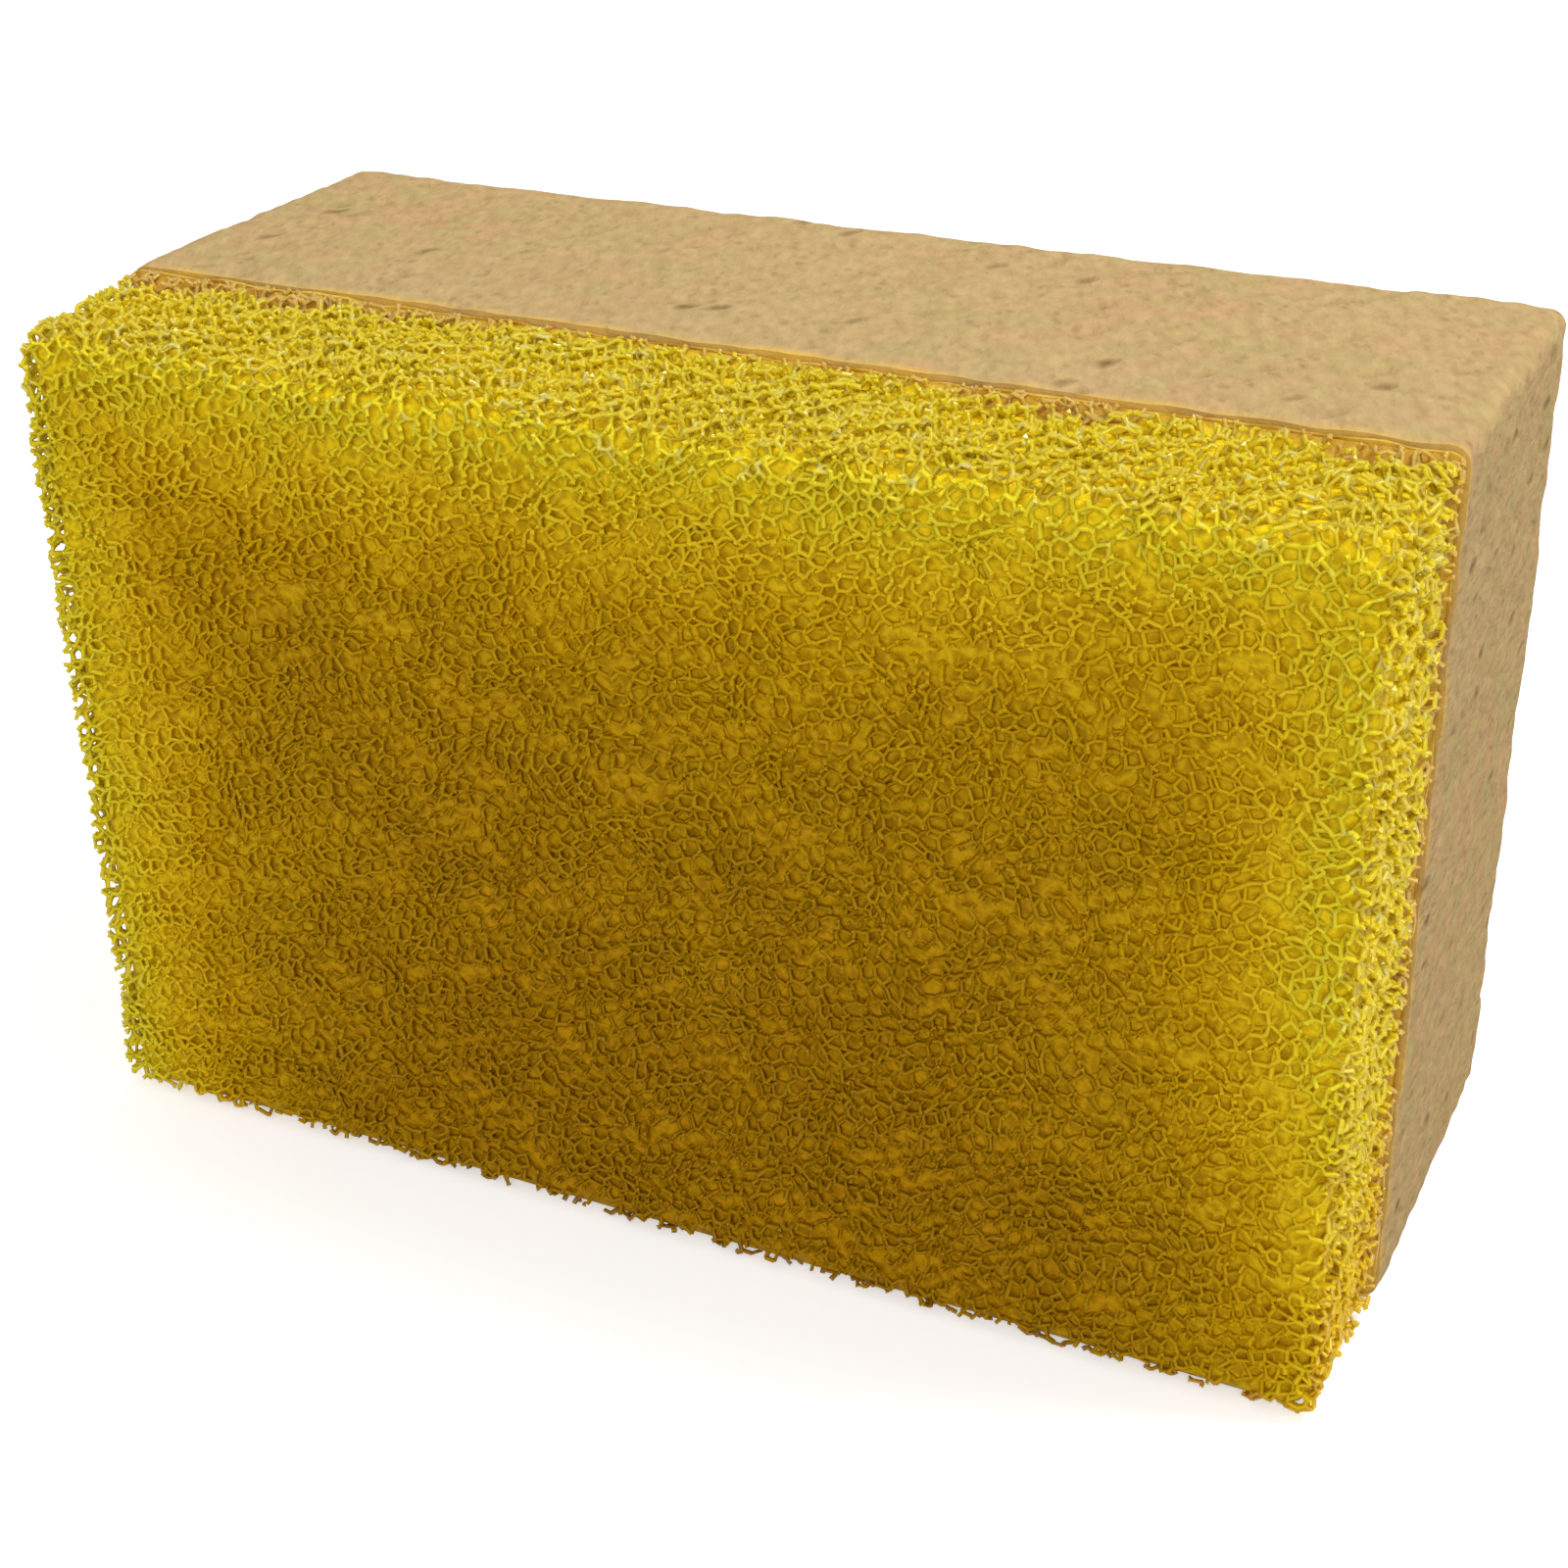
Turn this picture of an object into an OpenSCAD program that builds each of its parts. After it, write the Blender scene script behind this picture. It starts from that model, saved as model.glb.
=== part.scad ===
// Cleaning sponge: a fine foam block and a coarse open-celled scrub layer, joined by a thin film of glue.
// It stands on one long narrow side. X runs along its length, Z is up, and the scrub layer faces -Y.
// The origin is the middle of the base.

/* [Sponge] */
// Length from end to end
sponge_l = 120; // [90:1:140]
// Height as it stands
sponge_h = 77; // [50:1:90]

/* [Foam block] */
// Thickness of the fine foam block
block_t = 36.5; // [20:0.5:60]
// Radius of the block's four corners, seen from the front
block_corner_r = 2; // [0.5:0.1:6]
// Radius of the edges round the block's back face
block_edge_r = 1.5; // [0.5:0.1:5]
// Spacing of the large pores and slits on the block's faces
mark_gap = 9; // [7:0.5:14]
// Bare margin round each face, clear of pores and slits
mark_margin = 3; // [2:0.5:6]
// Width of a large pore
pore_w = 1.8; // [0.8:0.1:3]
// Depth of a pore's middle below the face
pore_sink = 0.3; // [0:0.05:0.4]
// Length of a slit left by the cutting blade
slit_l = 3.4; // [2:0.1:5]
// Width of a slit
slit_w = 0.7; // [0.3:0.05:1.5]
// Depth of a slit
slit_depth = 0.8; // [0.3:0.05:1]

/* [Glue film] */
// Thickness of the glue film
film_t = 0.5; // [0.2:0.05:1.5]
// How far the film's edge stays inside the foam
film_inset = 0.3; // [0.1:0.05:2]

/* [Scrub layer] */
// Thickness of the scrub layer
scrub_t = 18; // [10:0.5:22]
// Radius of the scrub layer's four corners, seen from the front
scrub_corner_r = 4.5; // [1:0.1:12]
// Radius of the worn edge round its front face
scrub_edge_r = 3; // [0.5:0.1:6]
// Width of an open cell, from thread to thread
cell_w = 3.4; // [3.4:0.1:8]
// Mean depth of the cells that the cut laid open
cell_depth = 2.6; // [0.8:0.1:4]
// How far the threads stray from an even net, as a share of their spacing
cell_stray = 0.3; // [0:0.05:0.35]
// How far the most ragged threads fall short of the full outline
rim_fray = 1.1; // [0:0.1:2]
// Depth of the long hollows that wear leaves in the outline
rim_wear = 0.5; // [0:0.1:1.5]

/* [Hidden] */

half_l = sponge_l / 2;
half_h = sponge_h / 2;
half_t = (block_t + film_t + scrub_t) / 2;
// The planes where the layers meet
film_y = scrub_t - half_t;
block_y = film_y + film_t;
block_mid_y = block_y + block_t / 2;

// Segments of a round edge or corner
round_fn = 48;
// Radius of the disc that cuts a slit of the right length and depth
slit_r = (slit_l * slit_l / 4 + slit_depth * slit_depth) / (2 * slit_depth);
// Share of the marks that are slits, and how far a mark strays from its place, as a share of the spacing
slit_share = 0.45;
mark_stray = 0.2;
// Smallest mark as a share of the full size, and the spread above it
mark_least = 0.6;
mark_spread = 0.5;
mark_seed = 4;

// The threads are a net of triangles: one point in three is the bottom of a cell
net = cell_w / sqrt(3);
net_row = net * sqrt(3) / 2;
// How far each sheet of cells runs on past the layer, to where the other sheet trims it
trim = 2 * net;
// Shallowest cell as a share of the mean depth, and the spread above it
cell_least = 0.55;
cell_spread = 0.9;
// Two waves round the outline, and their turn per millimetre of thickness, shape the worn hollows
wear_waves = [5, 7];
wear_turn = 8;
// The base is the part of the outline that faces down at least this much
base_facing = -0.7;
cell_seed = 11;

// A flat plate with round corners that stands in the XZ plane, from y = 0 to y = t
module plate(l, h, r, t) {
  rotate([90, 0, 0]) translate([0, 0, -t]) linear_extrude(t) {
    square([l - 2 * r, h], center = true);
    square([l, h - 2 * r], center = true);
    for (i = [-1, 1], j = [-1, 1]) translate([i * (l / 2 - r), j * (h / 2 - r)]) circle(r, $fn = round_fn);
  }
}

// The block's section, w across and t deep, with its two edges at the back rounded
module back_rounded(w, t, r) {
  translate([-w / 2, 0]) square([w, t - r]);
  translate([r - w / 2, 0]) square([w - 2 * r, t]);
  for (i = [-1, 1]) translate([i * (w / 2 - r), t - r]) circle(r, $fn = round_fn);
}

// A slit left by the blade: the edge of a thin disc, sunk into the face z = 0
module slit() {
  translate([0, 0, slit_r - slit_depth]) rotate([90, 0, 0])
    cylinder(r = slit_r, h = slit_w, center = true, $fn = round_fn);
}

// A large pore, cut open by the face z = 0
module pore() {
  translate([0, 0, -pore_sink]) sphere(d = pore_w, $fn = round_fn);
}

// Pores and slits scattered over a face of the block, w by h, in the plane z = 0
module face_marks(w, h, seed) {
  free_w = w - 2 * mark_margin;
  free_h = h - 2 * mark_margin;
  cols = max(1, floor(free_w / mark_gap));
  rows = max(1, floor(free_h / mark_gap));
  v = rands(0, 1, 3 * cols * rows, seed);
  stray = rands(-mark_stray, mark_stray, 2 * cols * rows, seed);
  for (c = [0:cols - 1], r = [0:rows - 1]) {
    i = c * rows + r;
    x = (c - (cols - 1) / 2 + stray[2 * i]) * free_w / cols;
    y = (r - (rows - 1) / 2 + stray[2 * i + 1]) * free_h / rows;
    translate([x, y, 0]) rotate(180 * v[3 * i]) scale(mark_least + mark_spread * v[3 * i + 1])
      if (v[3 * i + 2] < slit_share) slit(); else pore();
  }
}

module foam_block() {
  color("burlywood") difference() {
    intersection() {
      translate([0, block_y, half_h]) plate(sponge_l, sponge_h, block_corner_r, block_t);
      translate([0, block_y, 0]) linear_extrude(sponge_h) back_rounded(sponge_l, block_t, block_edge_r);
      translate([-half_l, block_y, half_h]) rotate([90, 0, 90]) linear_extrude(sponge_l)
        mirror([1, -1]) back_rounded(sponge_h, block_t, block_edge_r);
    }
    // The top, the two ends and the back; the base is left plain to stand on
    translate([0, block_mid_y, sponge_h]) face_marks(sponge_l, block_t, mark_seed);
    for (i = [-1, 1]) translate([i * half_l, block_mid_y, half_h]) rotate([0, i * 90, 0])
      face_marks(sponge_h, block_t, mark_seed + 2 + i);
    translate([0, half_t, half_h]) rotate([-90, 0, 0]) face_marks(sponge_l, sponge_h, mark_seed + 2);
  }
}

module bond_film() {
  color("darkgoldenrod") translate([0, film_y, half_h])
    plate(sponge_l - 2 * film_inset, sponge_h - 2 * film_inset, scrub_corner_r, film_t);
}

function clamp(v, low, high) = min(max(v, low), high);

// Whether point c of row r is the bottom of a cell, and the depth of that cell for a random value v
function is_cell(c, r) = (c + 2 * (r + floor(r / 2))) % 3 == 0;
function cell_at(v) = cell_depth * (cell_least + cell_spread * abs(v));

// Two triangles of the net between a row and the next; odd rows lie half a step further along
function net_faces(a, b, d, e, r) = r % 2 == 0 ? [[a, d, b], [b, d, e]] : [[a, e, b], [a, d, e]];

// How far a point of the XZ plane lies inside the scrub layer's outline
function inside(x, z) =
  let (qx = abs(x) - (half_l - scrub_corner_r), qz = abs(z - half_h) - (half_h - scrub_corner_r))
  scrub_corner_r - norm([max(qx, 0), max(qz, 0)]) - min(max(qx, qz), 0);

// How far the worn front edge has drawn back, at a distance d inside the outline
function edge_drop(d) =
  let (w = clamp(scrub_edge_r - d, 0, scrub_edge_r))
  scrub_edge_r - sqrt(scrub_edge_r * scrub_edge_r - w * w);

// Half the way round the scrub layer: along the base, round a corner, up an end and round the next corner
side_l = sponge_l - 2 * scrub_corner_r;
side_h = sponge_h - 2 * scrub_corner_r;
arc_l = PI / 2 * scrub_corner_r;
half_round = side_l + side_h + 2 * arc_l;

// The point of the outline at a share u of the way round, and its outward direction
function outline(u) =
  let (
    s = (u - floor(u)) * 2 * half_round,
    flip = s < half_round ? 1 : -1,
    t = s < half_round ? s : s - half_round,
    corner = clamp(t - side_l, 0, arc_l) + clamp(t - side_l - arc_l - side_h, 0, arc_l),
    up = clamp(t - side_l - arc_l, 0, side_h),
    centre = [clamp(t, 0, side_l) - side_l / 2, up - side_h / 2],
    out = [sin(90 * corner / arc_l), -cos(90 * corner / arc_l)]
  )
  [[0, half_h] + flip * (centre + scrub_corner_r * out), flip * out];

// The sheet of cells round the layer: rings of points from the film to just past the front face
ring_n = 3 * round(2 * half_round / net / 3);
ring_rows = ceil(scrub_t / net_row) + 1;
module ring_of_cells() {
  stray = rands(-1, 1, 3 * ring_n * (ring_rows + 1), cell_seed);
  points = [
    for (r = [0:ring_rows], c = [0:ring_n - 1])
      let (
        i = 3 * (r * ring_n + c),
        share = (c + (r % 2) / 2 + cell_stray * stray[i]) / ring_n,
        place = outline(share),
        inner_y = -(r + (r > 0 ? cell_stray * stray[i + 1] : 0)) * net_row,
        y = r == ring_rows ? -scrub_t - trim : inner_y,
        in_edge = y < scrub_edge_r / 2 - scrub_t,
        wave = sin(360 * wear_waves[0] * share) * cos(360 * wear_waves[1] * share + wear_turn * y),
        fray = rim_wear * (1 + wave) / 2 + rim_fray * pow(stray[i + 2], 2),
        // The threads of the base all end level, so that it stands flat
        thread = place[1][1] < base_facing || in_edge ? 0 : fray,
        depth = is_cell(c, r) && r > 0 && !in_edge ? cell_at(stray[i + 2]) : thread,
        p = place[0] - depth * place[1]
      )
      [p[0], y, p[1]]
  ];
  faces = [
    for (r = [0:ring_rows - 1], c = [0:ring_n - 1])
      let (a = r * ring_n + c, b = r * ring_n + (c + 1) % ring_n)
      each net_faces(a, b, a + ring_n, b + ring_n, r),
    [for (c = [0:ring_n - 1]) c],
    [for (c = [ring_n - 1:-1:0]) ring_rows * ring_n + c]
  ];
  polyhedron(points, faces);
}

// The sheet of cells over the front face, wider than the layer on every side, as the front of a block
face_cols = ceil((sponge_l + 2 * trim) / net);
face_rows = ceil((sponge_h + 2 * trim) / net_row);
module face_of_cells() {
  n = face_cols + 1;
  count = n * (face_rows + 1);
  stray = rands(-1, 1, 3 * count, cell_seed + 1);
  front = [
    for (r = [0:face_rows], c = [0:face_cols])
      let (
        i = 3 * (r * n + c),
        loose = r > 0 && r < face_rows && c > 0 && c < face_cols ? cell_stray : 0,
        x = -half_l - trim + (c + (r % 2) / 2 + loose * stray[i]) * net,
        z = -trim + (r + loose * stray[i + 1]) * net_row,
        in_edge = inside(x, z) < net,
        thread = rim_fray / 2 * pow(stray[i + 2], 2),
        depth = is_cell(c, r) && !in_edge ? cell_at(stray[i + 2]) : thread
      )
      [x, edge_drop(inside(x, z)) + depth - scrub_t, z]
  ];
  // The numbers of the points round the sheet's border, each with a point behind it on the block's back
  border = concat(
    [for (c = [0:face_cols - 1]) c],
    [for (r = [0:face_rows - 1]) r * n + face_cols],
    [for (c = [face_cols:-1:1]) face_rows * n + c],
    [for (r = [face_rows:-1:1]) r * n]
  );
  m = len(border);
  back = [for (i = border) [front[i][0], trim, front[i][2]]];
  faces = [
    for (r = [0:face_rows - 1], c = [0:face_cols - 1])
      let (a = r * n + c)
      each net_faces(a, a + 1, a + n, a + n + 1, r),
    for (i = [0:m - 1])
      let (j = (i + 1) % m)
      each [[border[i], border[j], count + i], [border[j], count + j, count + i]],
    [for (i = [0:m - 1]) count + i]
  ];
  polyhedron(concat(front, back), faces);
}

module scrub_layer() {
  // The furthest threads end on the full outline
  color("gold") translate([0, film_y, 0]) resize([sponge_l, scrub_t, sponge_h]) intersection() {
    ring_of_cells();
    face_of_cells();
  }
}

foam_block();
bond_film();
scrub_layer();
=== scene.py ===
"""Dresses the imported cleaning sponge, and sets up the floor, the light and the camera.

The sponge is a net of cut foam threads over a shaded core, a block of fine foam behind it, and the
film of glue between the two.
"""

from __future__ import annotations

import logging
import math
from dataclasses import dataclass, field
from enum import Enum

import bmesh
import bpy
import numpy as np
from mathutils import Matrix, Vector, noise


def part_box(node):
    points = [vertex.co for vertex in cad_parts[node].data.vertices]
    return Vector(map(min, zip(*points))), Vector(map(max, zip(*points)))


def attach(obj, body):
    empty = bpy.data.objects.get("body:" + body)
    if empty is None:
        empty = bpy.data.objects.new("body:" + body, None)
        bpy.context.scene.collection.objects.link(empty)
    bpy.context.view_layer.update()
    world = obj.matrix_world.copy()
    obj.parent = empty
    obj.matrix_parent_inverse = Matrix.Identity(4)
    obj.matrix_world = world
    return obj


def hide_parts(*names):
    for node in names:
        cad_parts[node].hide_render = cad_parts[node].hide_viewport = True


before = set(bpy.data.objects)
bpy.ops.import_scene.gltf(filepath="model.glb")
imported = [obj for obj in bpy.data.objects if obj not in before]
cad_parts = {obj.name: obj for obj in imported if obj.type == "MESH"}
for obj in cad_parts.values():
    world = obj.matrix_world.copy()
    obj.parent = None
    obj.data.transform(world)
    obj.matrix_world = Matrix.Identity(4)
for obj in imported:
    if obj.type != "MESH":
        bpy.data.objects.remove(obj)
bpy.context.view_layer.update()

Colour = tuple[float, float, float, float]
Span = tuple[float, float]
Value = bpy.types.NodeSocket | float | Colour

LOG = logging.getLogger("sponge")
MM = 0.001
BODY = "root"
WHITE = (1, 1, 1, 1)
TINY = 1e-12
ON_FACE = 1e-6
SHARP_ANGLE = math.radians(60)

# The part of a noise's range that is spread out, from a gentle pattern to a crisp one.
GENTLE: Span = (0.3, 0.7)
MEDIUM: Span = (0.35, 0.65)
CRISP: Span = (0.4, 0.6)

# The corners of packed fourteen-sided cells, and the threads from a corner to its neighbours, in
# quarters of a cell's width.
CELL_CORNERS = (
    ((0, 1, 2), (0, 3, 2), (2, 1, 0), (2, 3, 0), (0, 2, 1), (0, 2, 3))
    + ((2, 0, 1), (2, 0, 3), (1, 0, 2), (3, 0, 2), (1, 2, 0), (3, 2, 0))
)
THREAD_STEPS = ((1, 1, 0), (1, -1, 0), (1, 0, 1), (1, 0, -1), (0, 1, 1), (0, 1, -1))
GRID_SPAN = 8192


class View(Enum):
    """The flat view that a piece's bake map is laid out in, as two box axes."""

    FRONT = (0, 2)
    ABOVE = (0, 1)
    END = (1, 2)


class Sketch:
    """A node material that is drawn up step by step."""

    def __init__(self, name: str) -> None:
        """Starts an empty node material.

        Args:
            name: The material's name.
        """
        self.material = bpy.data.materials.new(name)
        self.material.use_nodes = True
        self.tree = self.material.node_tree
        self.tree.nodes.clear()
        self.output = self.tree.nodes.new("ShaderNodeOutputMaterial")
        self.place = self.tree.nodes.new("ShaderNodeTexCoord").outputs["Object"]

    def node(
        self, kind: str, links: dict[str | int, Value] | None = None, **settings: str | bool
    ) -> bpy.types.Node:
        """Adds a node.

        Args:
            kind: The node's type.
            links: Values or output sockets, by the name or number of the input that they go to.
            **settings: Properties of the node itself.

        Returns:
            The new node.
        """
        made = self.tree.nodes.new(kind)
        for key, value in settings.items():
            setattr(made, key, value)
        for key, value in (links or {}).items():
            if isinstance(value, bpy.types.NodeSocket):
                self.tree.links.new(value, made.inputs[key])
            else:
                made.inputs[key].default_value = value
        return made

    def noise(
        self, size: float, detail: float = 2.0, roughness: float = 0.5
    ) -> bpy.types.NodeSocket:
        """Returns a noise value from 0 to 1 with features of a given size in metres."""
        links = {"Vector": self.place, "Scale": 1 / size, "Detail": detail, "Roughness": roughness}
        return self.node("ShaderNodeTexNoise", links).outputs["Fac"]

    def cells(self, size: float, feature: str = "F1") -> bpy.types.NodeSocket:
        """Returns the distance to the middle, or the edge, of cells of a given size in metres."""
        links = {"Vector": self.place, "Scale": 1 / size}
        return self.node("ShaderNodeTexVoronoi", links, feature=feature).outputs["Distance"]

    def turned(self, place: bpy.types.NodeSocket, turn: float) -> bpy.types.NodeSocket:
        """Returns a place turned back about the z axis by an angle."""
        links = {"Vector": place, "Rotation": (0, 0, -turn)}
        return self.node("ShaderNodeMapping", links).outputs[0]

    def scaled(
        self, place: bpy.types.NodeSocket, scale: tuple[float, float, float]
    ) -> bpy.types.NodeSocket:
        """Returns a place scaled along each axis."""
        return self.node("ShaderNodeMapping", {"Vector": place, "Scale": scale}).outputs[0]

    def stretch(self, turn: float, along: float) -> None:
        """Stretches every texture that is drawn from now on.

        Args:
            turn: The direction of the stretch, as an angle from the x axis.
            along: How many times longer the features become that way.
        """
        self.place = self.scaled(self.turned(self.place, turn), (1 / along, 1, 1))

    def spread(
        self,
        value: bpy.types.NodeSocket,
        low: float,
        high: float,
        to_low: float = 0.0,
        to_high: float = 1.0,
    ) -> bpy.types.NodeSocket:
        """Stretches a value from one range onto another and clamps it there.

        Args:
            value: The value.
            low: The low end of its range.
            high: The high end of its range.
            to_low: What the low end becomes.
            to_high: What the high end becomes.

        Returns:
            The new value.
        """
        links = {"Value": value, "From Min": low, "From Max": high}
        links |= {"To Min": to_low, "To Max": to_high}
        return self.node("ShaderNodeMapRange", links, clamp=True).outputs["Result"]

    def maths(self, operation: str, a: Value, b: Value) -> bpy.types.NodeSocket:
        """Returns the result of a sum on two values, kept from 0 to 1."""
        links = {0: a, 1: b}
        return self.node("ShaderNodeMath", links, operation=operation, use_clamp=True).outputs[0]

    def mix(self, factor: Value, a: Value, b: Value) -> bpy.types.NodeSocket:
        """Blends one colour towards another.

        Args:
            factor: How far to go, from 0 for a to 1 for b.
            a: The first colour.
            b: The second colour.

        Returns:
            The blended colour.
        """
        made = self.node("ShaderNodeMix", data_type="RGBA")
        for key, value in (("Factor_Float", factor), ("A_Color", a), ("B_Color", b)):
            socket = next(i for i in made.inputs if i.identifier == key)
            if isinstance(value, bpy.types.NodeSocket):
                self.tree.links.new(value, socket)
            else:
                socket.default_value = value
        return next(o for o in made.outputs if o.identifier == "Result_Color")

    def attribute(self, name: str) -> bpy.types.NodeSocket:
        """Returns the value of one of the piece's own attributes."""
        return self.node("ShaderNodeAttribute", attribute_name=name).outputs["Fac"]

    def bump(
        self, height: bpy.types.NodeSocket, depth: float, below: bpy.types.NodeSocket | None = None
    ) -> bpy.types.NodeSocket:
        """Raises bumps on the surface.

        Args:
            height: The shape of the bumps, from 0 to 1.
            depth: How far they rise in metres.
            below: The normal of any coarser bumps that they lie on.

        Returns:
            The new normal.
        """
        links = {"Height": height, "Distance": depth, "Strength": 1.0}
        if below is not None:
            links["Normal"] = below
        return self.node("ShaderNodeBump", links).outputs["Normal"]

    def plastic(
        self, colour: Value, roughness: Value, gloss: float, **more: Value
    ) -> bpy.types.NodeSocket:
        """Returns the shader of a surface with no metal in it."""
        links = {"Base Color": colour, "Roughness": roughness, "Specular IOR Level": gloss, **more}
        return self.node("ShaderNodeBsdfPrincipled", links).outputs[0]

    def finish(self, shader: bpy.types.NodeSocket) -> bpy.types.Material:
        """Connects the shader to the output and returns the material."""
        self.tree.links.new(shader, self.output.inputs["Surface"])
        return self.material


def shade(red: int, green: int, blue: int) -> Colour:
    """Works out the linear colour of a screen colour.

    Args:
        red: The screen colour's red, from 0 to 255.
        green: Its green.
        blue: Its blue.

    Returns:
        The linear red, green and blue, and an opaque alpha.
    """
    parts = (c / 255 for c in (red, green, blue))
    linear = [c / 12.92 if c <= 0.04045 else ((c + 0.055) / 1.055) ** 2.4 for c in parts]
    return (*linear, 1.0)


@dataclass(frozen=True)
class ThreadFinish:
    """The slightly glossy, see-through yellow plastic of the scrub foam's threads."""

    name: str = "scrub_threads"
    # Lemon, yellow and amber run from painted light at the rim to painted shade inside.
    lemon: Colour = shade(255, 241, 52)
    yellow: Colour = shade(253, 214, 8)
    amber: Colour = shade(195, 148, 4)
    glue: Colour = shade(250, 222, 120)
    # Painted glint: a pale colour for spots on the rim threads that stand in for highlights.
    painted_glint: Colour = shade(255, 249, 160)
    roughness: float = 0.26
    roughness_drift: Span = (-0.1, 0.15)
    roughness_size: float = 0.8 * MM
    gloss: float = 0.45
    ior: float = 1.5
    see_through: float = 0.5
    cloud_size: float = 9 * MM
    cloud_drift: Span = (-0.05, 0.05)
    yellow_span: Span = (0.1, 0.6)
    lemon_span: Span = (0.42, 0.78)
    # The size and ranges of the painted glints, and how near the rim they lie.
    glint_size: float = 1.2 * MM
    glint_span: Span = (0.6, 0.68)
    glinting_rim: Span = (0.75, 1.0)
    # Painted shade deeper in the foam: how far down threads darken, and how much.
    deep_span: Span = (0.1, 1.2)
    deep_share: float = 0.6

    def material(self) -> bpy.types.Material:
        """Makes the threads' material: lemon at the rim, amber inside and paler in soaked glue.

        Returns:
            The material.
        """
        s = Sketch(self.name)
        clouds = s.spread(s.noise(self.cloud_size, detail=3), *MEDIUM, *self.cloud_drift)
        # Painted light and shade: threads go from amber inside to yellow and lemon at the rim.
        rim = s.maths("ADD", s.attribute("rim"), clouds)
        middle = s.mix(s.spread(rim, *self.yellow_span), self.amber, self.yellow)
        pale = s.mix(s.spread(rim, *self.lemon_span), middle, self.lemon)
        # Painted glints: pale spots on the threads near the rim stand in for highlights.
        patches = s.spread(s.noise(self.glint_size, detail=1), *self.glint_span)
        glint_spots = s.maths("MULTIPLY", patches, s.spread(rim, *self.glinting_rim))
        pale = s.mix(glint_spots, pale, self.painted_glint)
        # Painted shade: threads deeper in the foam are darkened towards amber.
        dark = s.spread(s.attribute("depth"), *self.deep_span, 0.0, self.deep_share)
        colour = s.mix(s.attribute("glue"), s.mix(dark, pale, self.amber), self.glue)
        low, high = (self.roughness + drift for drift in self.roughness_drift)
        roughness = s.spread(s.noise(self.roughness_size), *GENTLE, low, high)
        skin = s.plastic(colour, roughness, self.gloss, IOR=self.ior)
        glow = s.node("ShaderNodeBsdfTranslucent", {"Color": colour}).outputs[0]
        both = s.node("ShaderNodeMixShader", {0: self.see_through, 1: skin, 2: glow})
        return s.finish(both.outputs[0])


@dataclass(frozen=True)
class CoreFinish:
    """The shaded depth of the scrub foam, where threads and dark cells run together."""

    # The rim colours are painted light where light comes through the foam's thin edges.
    rim_thread: Colour = shade(250, 222, 26)
    rim_cell: Colour = shade(208, 175, 12)
    # The cells are darker than the threads, as painted shade in the deeper holes.
    thread: Colour = shade(198, 147, 3)
    cell: Colour = shade(170, 122, 2)
    glue: Colour = shade(196, 152, 52)
    spacing: float = 1.3 * MM
    thread_span: Span = (0.03, 0.3)
    rim_span: Span = (0.1, 0.85)
    bump_size: float = 1.0 * MM
    bump_depth: float = 0.55 * MM
    roughness: float = 0.6
    gloss: float = 0.1

    def material(self) -> bpy.types.Material:
        """Makes the material of the foam behind the modelled threads.

        Returns:
            The material.
        """
        s = Sketch("scrub_core")
        # Painted shade: a net of lighter threads over darker cells, for the shade in the deeper
        # holes.
        net = s.spread(s.cells(self.spacing, "DISTANCE_TO_EDGE"), *self.thread_span)
        # Painted light: lighter and yellower towards the rim.
        rim = s.spread(s.attribute("rim"), *self.rim_span)
        light = s.mix(rim, self.thread, self.rim_thread)
        dark = s.mix(rim, self.cell, self.rim_cell)
        normal = s.bump(s.noise(self.bump_size), self.bump_depth)
        colour = s.mix(s.attribute("glue"), s.mix(net, light, dark), self.glue)
        return s.finish(s.plastic(colour, self.roughness, self.gloss, Normal=normal))


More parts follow.
